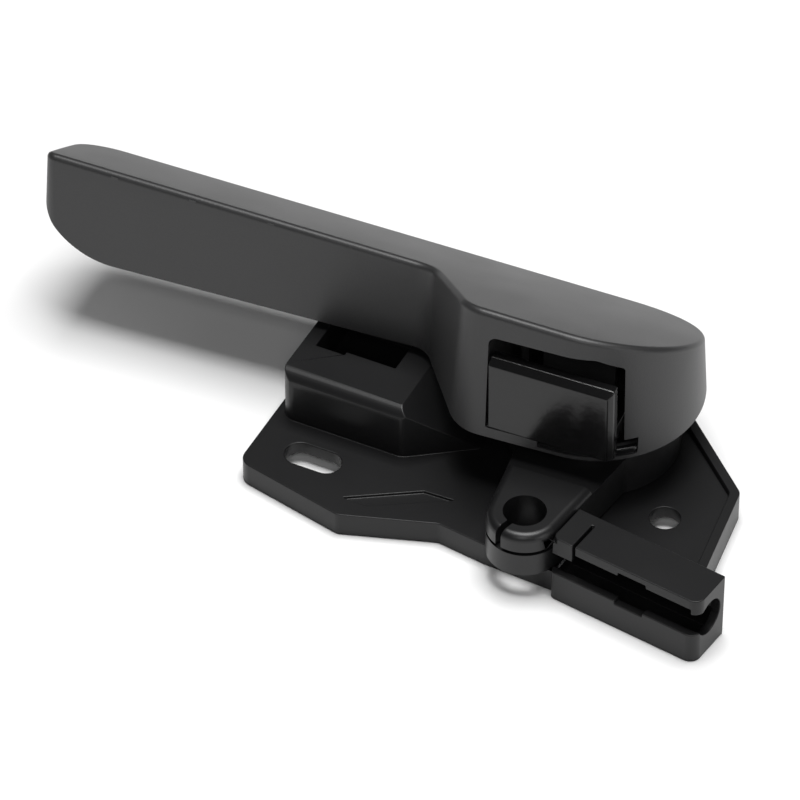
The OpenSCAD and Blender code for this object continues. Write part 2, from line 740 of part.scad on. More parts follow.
module pivot_screw() {
    color([0.66, 0.67, 0.7])
    translate([0, 0, post_h + keeper_t])
        difference() {
            union() {
                cylinder(d = screw_head_d, h = screw_head_h - screw_bevel, $fn = round_fn);
                translate([0, 0, screw_head_h - screw_bevel])
                    cylinder(d1 = screw_head_d, d2 = screw_head_d - 2 * screw_bevel, h = screw_bevel,
                             $fn = round_fn);
                translate([0, 0, -screw_len]) cylinder(d = screw_d, h = screw_len, $fn = round_fn);
            }
            // cross recess
            for (a = [0, 90])
                rotate(a) translate([-cross_size[0] / 2, -cross_size[1] / 2, screw_head_h - cross_depth])
                    cube([cross_size[0], cross_size[1], cross_depth + cut]);
        }
}

// Handle: hollow lever with a sloping, slightly crowned top

module handle_plan(d) {
    circle(r = head_r - d, $fn = round_fn);
    polygon(rounded(
        inset([for (p = handle_outline) p[0] == 0 ? [d, p[1]] : p], d),
        [0, 0, max(tip_back_r - d, 1), max(tip_front_r - d, 1), neck_in_r + d, neck_out_r - d]));
}

// Everything below the top face, with the face lowered by d.
module under_crest(d) {
    translate([0, 0, crest_z]) rotate([0, crest_rise, 0]) rotate([-crest_slope, 0, 0])
        translate([0, 0, -crown_r]) rotate([0, 90, 0])
            cylinder(r = crown_r - d, h = 4 * tip_x, center = true, $fn = 360);
}

// A shape drawn as seen from the front, made long enough to pass through any piece.
module from_the_front() {
    translate([0, far, 0]) rotate([90, 0, 0]) linear_extrude(2 * far) children();
}

// The handle's outer form.
module handle_form() {
    intersection() {
        translate([0, 0, handle_z]) linear_extrude(far) handle_plan(0);
        under_crest(0);
        from_the_front()
            polygon(rounded([[-tip_x, handle_z], [far, handle_z], [far, far], [-tip_x, far]],
                            [tip_low_r, 0, 0, 0]));
    }
}

// The space inside it, d behind every face and open below.
module handle_room(d) {
    intersection() {
        translate([0, 0, handle_z - cut]) linear_extrude(far) handle_plan(d);
        under_crest(d);
    }
}

module window() {
    translate([0, -window_floor, window_z]) rotate([90, 0, 0]) linear_extrude(far)
        polygon(rounded([[-window_left, 0], [window_right + catch_w, 0], [window_right + catch_w, catch_h],
                         [window_right, catch_h], [window_right, window_h], [-window_left, window_h]],
                        [0, 0, 0, 0, window_r, window_r]));
    foot_band(window_z - foot_drop, foot_drop + bite, foot_left, window_right + catch_w, foot_t, cut);
}

// A band of the head's front wall: from height z, h high, between two distances left and right of
// the pivot, t deep into the wall and running past its face by over.
module foot_band(z, h, left, right, t, over) {
    translate([0, 0, z]) linear_extrude(h)
        intersection() {
            translate([-left, -far]) square([left + right, far - window_floor]);
            difference() {
                front_plan(head_r + over);
                front_plan(head_r - t);
            }
        }
}

// The head in plan, with its flat front that leads to the neck.
module front_plan(r) {
    circle(r = r, $fn = round_fn);
    translate([-neck_head, -r]) square([neck_head, r]);
}

module handle() {
    color([0.22, 0.22, 0.225])
    rotate(handle_angle)
    union() {
        difference() {
            handle_form();
            handle_room(handle_t);
            window();
        }
        // ribs across the grip and the socket for the tower
        intersection() {
            handle_room(handle_t / 2);
            union() {
                for (i = [1 : grip_ribs])
                    translate([-neck_grip - (tip_x - neck_grip) * i / (grip_ribs + 1) - inner_rib_t / 2,
                               -grip_front, handle_z + inner_rib_lift])
                        cube([inner_rib_t, grip_front + grip_back, far]);
                for (s = [-1, 1])
                    translate([s * (clip_arm_out + fit_gap + inner_rib_t / 2) - inner_rib_t / 2,
                               -socket_in[1], drum_h + fit_gap])
                        cube([inner_rib_t, 2 * socket_in[1], far]);
                for (s = [-1, 1])
                    translate([2 * fit_gap - clip_arm_in,
                               s * (socket_in[1] + inner_rib_t / 2) - inner_rib_t / 2, drum_h + fit_gap])
                        cube([2 * clip_arm_in - 4 * fit_gap, inner_rib_t, far]);
            }
        }
    }
}

// Locking clip: face plate in the window, with two arms beside the tower

module locking_clip() {
    left = window_left - clip_gap;
    right = window_right - clip_side_gap;
    color([0.03, 0.03, 0.032])
    rotate(handle_angle)
    difference() {
        union() {
            translate([-left, -clip_front, clip_z]) rotate(-clip_skew)
                cube([(left + right) / cos(clip_skew), clip_t, clip_h]);
            // foot that lies in the recess of the sill, flush with the head
            foot_band(window_z - foot_drop + clip_gap, foot_drop + bite, foot_left - clip_gap,
                      window_right + catch_w - clip_gap, foot_t - clip_gap, 0);
            for (s = [-1, 1])
                translate([s * (clip_arm_in + clip_arm_out) / 2 - (clip_arm_out - clip_arm_in) / 2,
                           cut - clip_front, clip_arm_z])
                    cube([clip_arm_out - clip_arm_in, clip_front + tower[1] / 2, clip_arm_h]);
        }
        // bevel along the top edge
        translate([-left, -clip_front, clip_z + clip_h - clip_bevel])
            rotate(-clip_skew) rotate([45, 0, 0]) translate([-cut, -cut, 0]) cube([far, far, far]);
    }
}

bracket();
slip_washer();
return_spring();
cable_lever();
retaining_washer();
pivot_screw();
handle();
locking_clip();
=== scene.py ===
"""Looks of a hood release handle: a grained hollow handle on a black moulded bracket."""
import logging
import math
from collections.abc import Callable
from dataclasses import dataclass
from enum import Enum

import bmesh
import bpy
from mathutils import Matrix, Vector


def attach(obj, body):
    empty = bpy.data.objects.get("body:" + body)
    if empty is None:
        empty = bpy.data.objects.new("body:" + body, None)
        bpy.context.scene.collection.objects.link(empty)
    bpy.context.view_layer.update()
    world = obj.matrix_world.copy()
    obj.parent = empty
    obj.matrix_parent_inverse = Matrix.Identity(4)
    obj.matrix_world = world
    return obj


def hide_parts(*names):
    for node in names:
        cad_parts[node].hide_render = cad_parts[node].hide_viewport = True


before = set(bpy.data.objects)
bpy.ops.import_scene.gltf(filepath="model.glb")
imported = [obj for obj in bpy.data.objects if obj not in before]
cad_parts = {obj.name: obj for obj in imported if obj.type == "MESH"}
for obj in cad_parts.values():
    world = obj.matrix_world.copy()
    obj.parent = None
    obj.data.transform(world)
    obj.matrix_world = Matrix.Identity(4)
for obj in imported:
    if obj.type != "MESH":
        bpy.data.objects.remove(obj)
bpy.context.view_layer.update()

MM = 0.001
MERGE_MM = 0.02          # points of a CAD copy that lie closer than this are one
FLAT_DEG = 0.4           # faces that turn less than this are one
SHARP_DEG = 25.0         # edges flatter than this aren't bevelled by hand
REST_TURN_DEG = 4.7      # the handle and the clip are drawn straight and turned by this
MIX_A, MIX_B, MIX_OUT = 6, 7, 2      # colour sockets of the Mix node
Point = tuple[float, float]
Spot = tuple[float, float, float]
Colour = tuple[float, float, float]
Ring = list[bmesh.types.BMVert]
log = logging.getLogger("hood_release")


class Body(Enum):
    """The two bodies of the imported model."""

    BASE = "base"
    LEVER = "lever"


# Small helpers for modelling


def deselect_all() -> None:
    """Leave edit mode and deselect every object."""
    if bpy.context.object and bpy.context.object.mode != "OBJECT":
        bpy.ops.object.mode_set(mode="OBJECT")
    bpy.ops.object.select_all(action="DESELECT")


def activate(piece: bpy.types.Object) -> None:
    """Make one object the only selected and active one."""
    deselect_all()
    piece.select_set(True)
    bpy.context.view_layer.objects.active = piece


def new_piece(name: str) -> bpy.types.Object:
    """Name the primitive that was just added and return it."""
    piece = bpy.context.object
    piece.name = name
    piece.data.name = name
    return piece


def bake_place(piece: bpy.types.Object) -> None:
    """Move an object's place into its mesh, so that the object sits at the origin."""
    activate(piece)
    bpy.ops.object.transform_apply(location=True, rotation=True, scale=True)


def apply_modifiers(piece: bpy.types.Object) -> None:
    """Apply every modifier of a piece in order."""
    activate(piece)
    for name in [modifier.name for modifier in piece.modifiers]:
        bpy.ops.object.modifier_apply(modifier=name)


def smooth(piece: bpy.types.Object, angle_deg: float = 32.0) -> None:
    """Shade a piece smooth, with large faces kept flat.

    Args:
        piece: The piece to shade.
        angle_deg: Edges over this angle stay crisp.
    """
    activate(piece)
    bpy.ops.object.shade_smooth_by_angle(angle=math.radians(angle_deg))
    normals = piece.modifiers.new("normals", "WEIGHTED_NORMAL")
    normals.mode = "FACE_AREA"
    normals.weight = 50
    normals.keep_sharp = True
    apply_modifiers(piece)


def add_box(name: str, low: Spot, high: Spot) -> bpy.types.Object:
    """Add a box between two corners.

    Args:
        name: Name of the new object.
        low: Lowest corner in millimetres.
        high: Highest corner in millimetres.

    Returns:
        The new object, with its place in its mesh.
    """
    deselect_all()
    centre = [(a + b) / 2 * MM for a, b in zip(low, high)]
    bpy.ops.mesh.primitive_cube_add(size=1, location=centre)
    box = new_piece(name)
    box.scale = [(b - a) * MM for a, b in zip(low, high)]
    bake_place(box)
    return box


def add_prism(name: str, outline: list[Point], low: float, high: float,
              along_y: bool = False) -> bpy.types.Object:
    """Add a prism over an outline in plan, or in front view.

    Args:
        name: Name of the new object.
        outline: Corners in millimetres, as (x, y) in plan or (x, z) in front view.
        low: Where the prism starts, in z, or in y for a front view.
        high: Where it ends.
        along_y: True for an outline in front view.

    Returns:
        The new object, with its place in its mesh.
    """
    deselect_all()
    bpy.ops.mesh.primitive_circle_add(vertices=len(outline), radius=MM, fill_type="NGON")
    prism = new_piece(name)
    for vertex, (a, b) in zip(prism.data.vertices, outline):
        vertex.co = Vector((a, low, b) if along_y else (a, b, low)) * MM
    bpy.ops.object.mode_set(mode="EDIT")
    bpy.ops.mesh.select_all(action="SELECT")
    way = (0, (high - low) * MM, 0) if along_y else (0, 0, (high - low) * MM)
    bpy.ops.mesh.extrude_region_move(TRANSFORM_OT_translate={"value": way})
    bpy.ops.mesh.select_all(action="SELECT")
    bpy.ops.mesh.normals_make_consistent(inside=False)
    bpy.ops.object.mode_set(mode="OBJECT")
    return prism


def turn(piece: bpy.types.Object, angle_deg: float) -> None:
    """Turn a piece's mesh about the pivot axis."""
    piece.data.transform(Matrix.Rotation(math.radians(angle_deg), 4, "Z"))


def cut_with(piece: bpy.types.Object, cutter: bpy.types.Object) -> None:
    """Take a cutter's volume out of a piece and remove the cutter."""
    activate(piece)
    cut = piece.modifiers.new("cut", "BOOLEAN")
    cut.operation = "DIFFERENCE"
    cut.solver = "EXACT"
    cut.object = cutter
    bpy.ops.object.modifier_apply(modifier=cut.name)
    bpy.data.objects.remove(cutter)


def refined_copy(node: str, name: str) -> bpy.types.Object:
    """Copy a CAD node's mesh and turn its loose triangles into clean faces.

    Args:
        node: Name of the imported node.
        name: Name of the new object.

    Returns:
        A merged copy at the same place.
    """
    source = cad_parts[node]
    copy = bpy.data.objects.new(name, source.data.copy())
    copy.data.name = name
    bpy.context.scene.collection.objects.link(copy)
    copy.data.materials.clear()
    activate(copy)
    bpy.ops.object.mode_set(mode="EDIT")
    bpy.ops.mesh.select_all(action="SELECT")
    bpy.ops.mesh.customdata_custom_splitnormals_clear()
    bpy.ops.mesh.remove_doubles(threshold=MERGE_MM * MM)
    bpy.ops.mesh.dissolve_degenerate(threshold=MERGE_MM * MM)
    bpy.ops.mesh.dissolve_limited(angle_limit=math.radians(FLAT_DEG))
    bpy.ops.object.mode_set(mode="OBJECT")
    return copy


def bevel_some(piece: bpy.types.Object, width_mm: float, segments: int,
               chosen: Callable[[Vector, Vector], bool]) -> None:
    """Bevel some of a piece's sharp edges.

    Args:
        piece: The piece to bevel.
        width_mm: Width of the bevel.
        segments: Number of steps across it.
        chosen: Test of an edge by its two ends, in millimetres.
    """
    activate(piece)
    bpy.ops.object.mode_set(mode="EDIT")
    bpy.ops.mesh.select_mode(type="EDGE")
    bpy.ops.mesh.select_all(action="DESELECT")
    mesh = bmesh.from_edit_mesh(piece.data)
    for edge in mesh.edges:
        a, b = (vertex.co / MM for vertex in edge.verts)
        sharp = len(edge.link_faces) == 2 and edge.calc_face_angle() > math.radians(SHARP_DEG)
        edge.select = sharp and chosen(a, b)
    bmesh.update_edit_mesh(piece.data)
    bpy.ops.mesh.bevel(offset=width_mm * MM, segments=segments, affect="EDGES", clamp_overlap=True)
    bpy.ops.mesh.select_mode(type="VERT")
    bpy.ops.object.mode_set(mode="OBJECT")


def round_edges(piece: bpy.types.Object, width_mm: float, segments: int = 3,
                angle_deg: float = 28.0, clamped: bool = True) -> None:
    """Round every edge over an angle.

    Args:
        piece: The piece to round.
        width_mm: Width of the rounding.
        segments: Number of steps across it.
        angle_deg: Edges flatter than this stay.
        clamped: Whether short edges nearby make the rounding narrower.
    """
    bevel = piece.modifiers.new("edges", "BEVEL")
    bevel.width = width_mm * MM
    bevel.segments = segments
    bevel.limit_method = "ANGLE"
    bevel.angle_limit = math.radians(angle_deg)
    bevel.use_clamp_overlap = clamped
    bevel.miter_outer = "MITER_ARC"
    apply_modifiers(piece)


# Finishes


def group_socket(tree: bpy.types.NodeTree, name: str, value: float | None = None) -> None:
    """Add one number socket to a shader group.

    Args:
        tree: The group.
        name: Name of the socket.
        value: Default of an input, or None for an output.
    """
    way = "OUTPUT" if value is None else "INPUT"
    socket = tree.interface.new_socket(name=name, in_out=way, socket_type="NodeSocketFloat")
    if value is not None:
        socket.default_value = value


def moulded_surface_group() -> bpy.types.NodeTree:
    """Build the shader group that all moulded plastics share.

    It mixes a fine spark grain with broad, slow waves from moulding, and gives a height for
    bump, a roughness and a tone that both change a little over the surface.

    Returns:
        The node group, built once.
    """
    name = "moulded_surface"
    if name in bpy.data.node_groups:
        return bpy.data.node_groups[name]
    tree = bpy.data.node_groups.new(name, "ShaderNodeTree")
    for socket, value in (("Grain Scale", 2600.0), ("Grain Depth", 1.0), ("Wave Scale", 60.0),
                          ("Wave Depth", 0.4), ("Roughness", 0.5), ("Roughness Change", 0.08)):
        group_socket(tree, socket, value)
    for socket in ("Height", "Roughness", "Tone"):
        group_socket(tree, socket)
    nodes, links = tree.nodes, tree.links
    given = nodes.new("NodeGroupInput")
    out = nodes.new("NodeGroupOutput")
    place = nodes.new("ShaderNodeTexCoord")

    def noise(scale: str, detail: float, rough: float) -> bpy.types.Node:
        """Add a noise texture whose scale comes from a group input."""
        texture = nodes.new("ShaderNodeTexNoise")
        texture.inputs["Detail"].default_value = detail
        texture.inputs["Roughness"].default_value = rough
        links.new(place.outputs["Object"], texture.inputs["Vector"])
        links.new(given.outputs[scale], texture.inputs["Scale"])
        return texture

    def maths(operation: str, a: bpy.types.NodeSocket,
              b: bpy.types.NodeSocket | float) -> bpy.types.NodeSocket:
        """Add a maths node and return its result."""
        node = nodes.new("ShaderNodeMath")
        node.operation = operation
        links.new(a, node.inputs[0])
        if isinstance(b, float):
            node.inputs[1].default_value = b
        else:
            links.new(b, node.inputs[1])
        return node.outputs[0]

    grain = noise("Grain Scale", 3.0, 0.6)
    wave = noise("Wave Scale", 2.0, 0.5)
    fine = maths("MULTIPLY", grain.outputs["Fac"], given.outputs["Grain Depth"])
    slow = maths("MULTIPLY", wave.outputs["Fac"], given.outputs["Wave Depth"])
    links.new(maths("ADD", fine, slow), out.inputs["Height"])
    swing = maths("SUBTRACT", wave.outputs["Fac"], 0.5)
    change = maths("MULTIPLY", swing, given.outputs["Roughness Change"])
    links.new(maths("ADD", change, given.outputs["Roughness"]), out.inputs["Roughness"])
    speckle = maths("MULTIPLY", maths("SUBTRACT", grain.outputs["Fac"], 0.5), 0.6)
    links.new(maths("ADD", speckle, 0.5), out.inputs["Tone"])
    return tree


@dataclass(frozen=True)
class MouldedPlastic:
    """A moulded plastic finish: colour, gloss and grain.

    Attributes:
        name: Name of the material.
        dark: Colour in the grain's hollows.
        light: Colour on the grain's tops.
        roughness: Mean roughness.
        grain_scale: Grains for each metre.
        grain_depth: Weight of the grain in the bump.
        wave_depth: Weight of the slow waves in the bump.
        bump_mm: Height of the bump.
        specular: Specular level.
        roughness_change: How far the slow waves change the roughness.
    """

    name: str
    dark: Colour
    light: Colour
    roughness: float
    grain_scale: float
    grain_depth: float
    wave_depth: float
    bump_mm: float
    specular: float = 0.5
    roughness_change: float = 0.08

    def material(self) -> bpy.types.Material:
        """Build the material, or return it if it is there already."""
        if self.name in bpy.data.materials:
            return bpy.data.materials[self.name]
        made = bpy.data.materials.new(self.name)
        made.use_nodes = True
        nodes, links = made.node_tree.nodes, made.node_tree.links
        shader = nodes["Principled BSDF"]
        surface = nodes.new("ShaderNodeGroup")
        surface.node_tree = moulded_surface_group()
        for socket, value in (("Grain Scale", self.grain_scale), ("Grain Depth", self.grain_depth),
                              ("Wave Depth", self.wave_depth), ("Roughness", self.roughness),
                              ("Roughness Change", self.roughness_change)):
            surface.inputs[socket].default_value = value
        tone = nodes.new("ShaderNodeMix")
        tone.data_type = "RGBA"
        tone.inputs[MIX_A].default_value = (*self.dark, 1)
        tone.inputs[MIX_B].default_value = (*self.light, 1)
        links.new(surface.outputs["Tone"], tone.inputs[0])
        links.new(tone.outputs[MIX_OUT], shader.inputs["Base Color"])
        links.new(surface.outputs["Roughness"], shader.inputs["Roughness"])
        shader.inputs["Specular IOR Level"].default_value = self.specular
        bump = nodes.new("ShaderNodeBump")
        bump.inputs["Strength"].default_value = 1.0
        bump.inputs["Distance"].default_value = self.bump_mm * MM
        links.new(surface.outputs["Height"], bump.inputs["Height"])
        links.new(bump.outputs["Normal"], shader.inputs["Normal"])
        return made


@dataclass(frozen=True)
class Metal:
    """A plain metal finish for the hidden steel pieces."""

    name: str
    colour: Colour
    roughness: float
    scratch_scale: float = 900.0

    def material(self) -> bpy.types.Material:
        """Build the material, with fine streaks in its roughness."""
        if self.name in bpy.data.materials:
            return bpy.data.materials[self.name]
        made = bpy.data.materials.new(self.name)
        made.use_nodes = True
        nodes, links = made.node_tree.nodes, made.node_tree.links
        shader = nodes["Principled BSDF"]
        shader.inputs["Base Color"].default_value = (*self.colour, 1)
        shader.inputs["Metallic"].default_value = 1.0
        surface = nodes.new("ShaderNodeGroup")
        surface.node_tree = moulded_surface_group()
        surface.inputs["Grain Scale"].default_value = self.scratch_scale
        surface.inputs["Roughness"].default_value = self.roughness
        links.new(surface.outputs["Roughness"], shader.inputs["Roughness"])
        return made


BRACKET_PLASTIC = MouldedPlastic("bracket_black", (0.005, 0.005, 0.0053),
                                 (0.009, 0.009, 0.0095), 0.38, 2200.0, 0.5, 0.5, 0.012, 0.33)
LEVER_PLASTIC = MouldedPlastic("lever_black", (0.005, 0.005, 0.0053),
                               (0.009, 0.009, 0.0095), 0.36, 2200.0, 0.4, 0.6, 0.012, 0.4)
HANDLE_PLASTIC = MouldedPlastic("handle_grained", (0.016, 0.016, 0.0165),
                                (0.028, 0.028, 0.0285), 0.42, 2400.0, 1.0, 0.3, 0.03)
CLIP_PLASTIC = MouldedPlastic("clip_glossy", (0.004, 0.004, 0.0042), (0.006, 0.006, 0.0062), 0.18,
                              500.0, 0.5, 0.5, 0.07, 0.4, 0.03)
WASHER_PLASTIC = MouldedPlastic("washer_natural", (0.68, 0.66, 0.6), (0.78, 0.76, 0.7), 0.45,
                                1500.0, 0.4, 0.4, 0.02)
SPRING_STEEL = Metal("spring_steel", (0.42, 0.43, 0.45), 0.32)
ZINC_STEEL = Metal("zinc_steel", (0.62, 0.62, 0.65), 0.38)


def dress(piece: bpy.types.Object, finish: MouldedPlastic | Metal) -> None:
    """Give a piece its only material."""
    piece.data.materials.clear()
    piece.data.materials.append(finish.material())


# Outlines in plan, in millimetres


def unit(v: Vector) -> Vector:
    """A vector of length one."""
    return v / v.length


def corner_arc(before: Vector, at: Vector, after: Vector, radius: float,
               steps: int) -> list[Vector]:
    """Round a corner with an arc that touches both of its sides.

    Args:
        before: The corner before it.
        at: The corner to round.
        after: The corner after it.
        radius: Radius of the arc.
        steps: Number of straight steps in the arc.

    Returns:
        The arc's points, in order.
    """
    u, v = unit(before - at), unit(after - at)
    half = math.acos(max(-1.0, min(1.0, u.dot(v)))) / 2
    centre = at + unit(u + v) * radius / math.sin(half)
    start = at + u * radius / math.tan(half) - centre
    side = 1 if start.x * (at - centre).y - start.y * (at - centre).x > 0 else -1
    sweep = side * (math.pi - 2 * half)
    first = math.atan2(start.y, start.x)
    angles = [first + sweep * i / steps for i in range(steps + 1)]
    return [centre + radius * Vector((math.cos(a), math.sin(a))) for a in angles]


@dataclass
class HandleShell:
    """The hollow handle: outer skin, window, ribs and socket, drawn straight and then turned.

    Lengths are in millimetres. The grip runs along negative x, and the window faces negative y.
    """

    lower_edge: float = 21.5
    head_r: float = 24.3
    tip_x: float = 131.2
    grip_front: float = 3.0
    grip_back: float = 23.6
    neck_head: float = 23.2
    neck_grip: float = 38.4
    neck_out_r: float = 10.0
    neck_in_r: float = 6.0
    tip_front_r: float = 4.0
    tip_back_r: float = 10.0
    tip_low_r: float = 18.0
    crest_z: float = 42.15
    slope_back: float = 0.625
    crown: float = 0.0019
    rise_left: float = 0.045
    draft_deg: float = 3.5
    edge_r: float = 1.2
    wall: float = 2.3
    inner_draft: float = 1.0
    ceiling: float = 2.8
    side_step: float = 3.0
    wall_rings: int = 6
    edge_rings: int = 5
    window_left: float = 16.5
    window_right: float = 13.8
    window_lean: float = 0.7
    window_slant: Point = (5.6, 2.6)
    window_sill: float = 2.6
    window_h: float = 24.9
    window_r: float = 2.0
    window_slant_r: float = 1.2
    window_floor: float = 15.6
    catch_w: float = 2.45
    catch_h: float = 2.6
    grip_ribs: int = 4
    rib_t: float = 1.6
    rib_lift: float = 2.5
    socket_half: Point = (12.2, 9.2)
    socket_span: float = 8.2
    socket_z: float = 21.6
    guide_lift: float = 2.5
    foot_left: float = 4.5
    foot_t: float = 1.5
    foot_drop: float = 1.7
    rim_edge: float = 0.3
    rim_steps: int = 2
    rim_angle: float = 50.0
    crease_deg: float = 40.0
    head_steps: int = 64
    corner_steps: int = 10
    grid: float = 4.0
    sill_r: float = 0.3
    catch_overlap: float = 1.0
    grip_rib_inset: float = 1.5
    cut_front: float = -40.0
    cut_past: float = 3.0

    def top(self, x: float, y: float) -> float:
        """Height of the sloping, slightly crowned top face."""
        return self.crest_z - self.slope_back * y - self.crown * y * y - self.rise_left * x

    def outline(self, inset: float) -> list[Vector]:
        """Draw the plan outline, anticlockwise from the head's front.

        Args:
            inset: How far it is moved inwards.

        Returns:
            The outline's points.
        """
        corners = [(0.0, self.head_r), (-self.tip_x, self.grip_back),
                   (-self.tip_x, -self.grip_front), (-self.neck_grip, -self.grip_front),
                   (-self.neck_head, -self.head_r), (0.0, -self.head_r)]
        points = [Vector(p) for p in corners]
        radii = [None, self.tip_back_r - inset, self.tip_front_r - inset, self.neck_in_r + inset,
                 self.neck_out_r - inset, None]
        moved = []
        for i, p in enumerate(points):
            a, b = points[i - 1], points[(i + 1) % len(points)]
            n1 = Vector((-(p - a).y, (p - a).x)).normalized()
            n2 = Vector((-(b - p).y, (b - p).x)).normalized()
            if radii[i] is None:
                moved.append(Vector((0, p.y - math.copysign(inset, p.y))))
            else:
                moved.append(p + inset * (n1 + n2) / (1 + n1.dot(n2)))
        angles = [math.pi * i / self.head_steps for i in range(self.head_steps + 1)]
        made = [Vector((math.sin(a), -math.cos(a))) * (self.head_r - inset) for a in angles]
        for i in range(1, 5):
            made += corner_arc(moved[i - 1], moved[i], moved[i + 1], radii[i], self.corner_steps)
        return made

    def stations(self) -> list[tuple[Vector, Vector]]:
        """Divide the outline's long sides evenly.

        Returns:
            Points of the outline, each with the way inwards there.
        """
        here, inner = self.outline(0), self.outline(1)
        made = []
        for i, p in enumerate(here):
            q = here[(i + 1) % len(here)]
            parts = max(1, math.ceil((q - p).length / self.side_step))
            a, b = inner[i] - p, inner[(i + 1) % len(here)] - q
            made += [(p.lerp(q, k / parts), a.lerp(b, k / parts)) for k in range(parts)]
        return made

    def section(self, at: Vector, inwards: Vector) -> list[Point]:
        """One cut through the skin, from the lower edge up and over the rounded top edge.

        Args:
            at: Point of the outline.
            inwards: Way inwards there.

        Returns:
            Pairs of distance inwards and height.
        """
        lean = math.tan(math.radians(self.draft_deg))
        reach = 0.0
        for _ in range(8):
            spot = at + reach * inwards
            reach = lean * (self.top(spot.x, spot.y) - self.lower_edge)
        spot = at + reach * inwards
        peak = Vector((reach, self.top(spot.x, spot.y)))
        fall = (self.top(*(spot + 0.5 * inwards)) - peak.y) / 0.5
        down, over = unit(Vector((-lean, -1))), unit(Vector((1, fall)))
        half = math.acos(down.dot(over)) / 2
        tangent = self.edge_r / math.tan(half)
        centre = peak + unit(down + over) * self.edge_r / math.sin(half)
        first = peak + tangent * down - centre
        last = peak + tangent * over - centre
        start, end = math.atan2(first.y, first.x), math.atan2(last.y, last.x)
        if end > start:
            end -= 2 * math.pi
        foot = Vector((0, self.lower_edge))
        shoulder = centre + first
        made = [tuple(foot.lerp(shoulder, i / self.wall_rings)) for i in range(self.wall_rings)]
        for i in range(self.edge_rings + 1):
            a = start + (end - start) * i / self.edge_rings
            made.append(tuple(centre + self.edge_r * Vector((math.cos(a), math.sin(a)))))
        return made

    def skin(self) -> bpy.types.Object:
        """Model the outer and inner skin by extruding the outline ring by ring.

        Returns:
            The closed shell, in the handle's own frame.
        """
        stations = self.stations()
        count = len(stations)
        outer = [self.section(at, inwards) for at, inwards in stations]
        deselect_all()
        bpy.ops.mesh.primitive_circle_add(vertices=count, radius=self.head_r * MM,
                                          fill_type="NOTHING")
        shell = new_piece("handle_shell")
        bpy.ops.object.mode_set(mode="EDIT")
        mesh = bmesh.from_edit_mesh(shell.data)

        def put(ring: Ring, places: list[Vector]) -> None:
            """Place the vertices of one ring, in millimetres."""
            for vertex, place in zip(ring, places):
                vertex.co = place * MM

        def extruded(ring: Ring, places: list[Vector]) -> Ring:
            """Extrude a ring of edges and place the new one."""
            bpy.ops.mesh.select_all(action="DESELECT")
            for vertex in ring:
                vertex.select = True
            mesh.select_flush(True)
            old = {vertex: i for i, vertex in enumerate(ring)}
            known = set(mesh.verts)
            bpy.ops.mesh.extrude_edges_move()
            mesh.verts.ensure_lookup_table()
            new: Ring = [ring[0]] * count
            for vertex in mesh.verts:
                if vertex in known:
                    continue
                for edge in vertex.link_edges:
                    other = edge.other_vert(vertex)
                    if other in old:
                        new[old[other]] = vertex
            put(new, places)
            return new

        def spots(k: int) -> list[Vector]:
            """Places of the outer skin's ring k."""
            made = []
            for (at, inwards), cut in zip(stations, outer):
                into, height = cut[k]
                made.append(Vector((*(at + into * inwards), height)))
            return made

        mesh.verts.ensure_lookup_table()
        ring = list(mesh.verts)
        put(ring, spots(0))
        foot = ring
        for k in range(1, len(outer[0])):
            ring = extruded(ring, spots(k))
        self.fill_flat(mesh, ring, 0.0)
        inner_low, inner_high = [], []
        for at, inwards in stations:
            inner_low.append(Vector((*(at + self.wall * inwards), self.lower_edge)))
            spot = at + (self.wall + self.inner_draft) * inwards
            inner_high.append(Vector((*spot, self.top(spot.x, spot.y) - self.ceiling)))
        ring = extruded(foot, inner_low)
        ring = extruded(ring, inner_high)
        self.fill_flat(mesh, ring, -self.ceiling)
        bmesh.update_edit_mesh(shell.data)
        bpy.ops.mesh.select_all(action="SELECT")
        bpy.ops.mesh.normals_make_consistent(inside=False)
        bpy.ops.object.mode_set(mode="OBJECT")
        return shell

    def fill_flat(self, mesh: bmesh.types.BMesh, ring: Ring, lowered: float) -> None:
        """Close a ring with a face, divide it into a grid and lay it on the top face.

        Args:
            mesh: The mesh in edit mode.
            ring: The ring to close.
            lowered: How far the new face lies from the top face.
        """
        bpy.ops.mesh.select_all(action="DESELECT")
        for vertex in ring:
            vertex.select = True
        mesh.select_flush(True)
        bpy.ops.mesh.edge_face_add()
        before = set(mesh.verts)
        for i in range(int((self.tip_x + self.head_r) / self.grid)):
            x = -self.tip_x + self.grid * (i + 1)
            bpy.ops.mesh.bisect(plane_co=(x * MM, 0, 0), plane_no=(1, 0, 0))
            self.reselect(mesh, ring, before)
        for i in range(int(2 * self.head_r / self.grid)):
            y = -self.head_r + self.grid * (i + 1)
            bpy.ops.mesh.bisect(plane_co=(0, y * MM, 0), plane_no=(0, 1, 0))
            self.reselect(mesh, ring, before)
        for vertex in mesh.verts:
            if vertex not in before:
                x, y = vertex.co.x / MM, vertex.co.y / MM
                vertex.co.z = (self.top(x, y) + lowered) * MM

    @staticmethod
    def reselect(mesh: bmesh.types.BMesh, ring: Ring, before: set[bmesh.types.BMVert]) -> None:
        """Select the faces that close the ring, whatever cuts were made in them.

        Args:
            mesh: The mesh in edit mode.
            ring: The ring that they close.
            before: The vertices from before the cuts.
        """
        bpy.ops.mesh.select_all(action="DESELECT")
        edge = set(ring)
        for face in mesh.faces:
            if all(v in edge or v not in before for v in face.verts):
                face.select = True
        mesh.select_flush_mode()

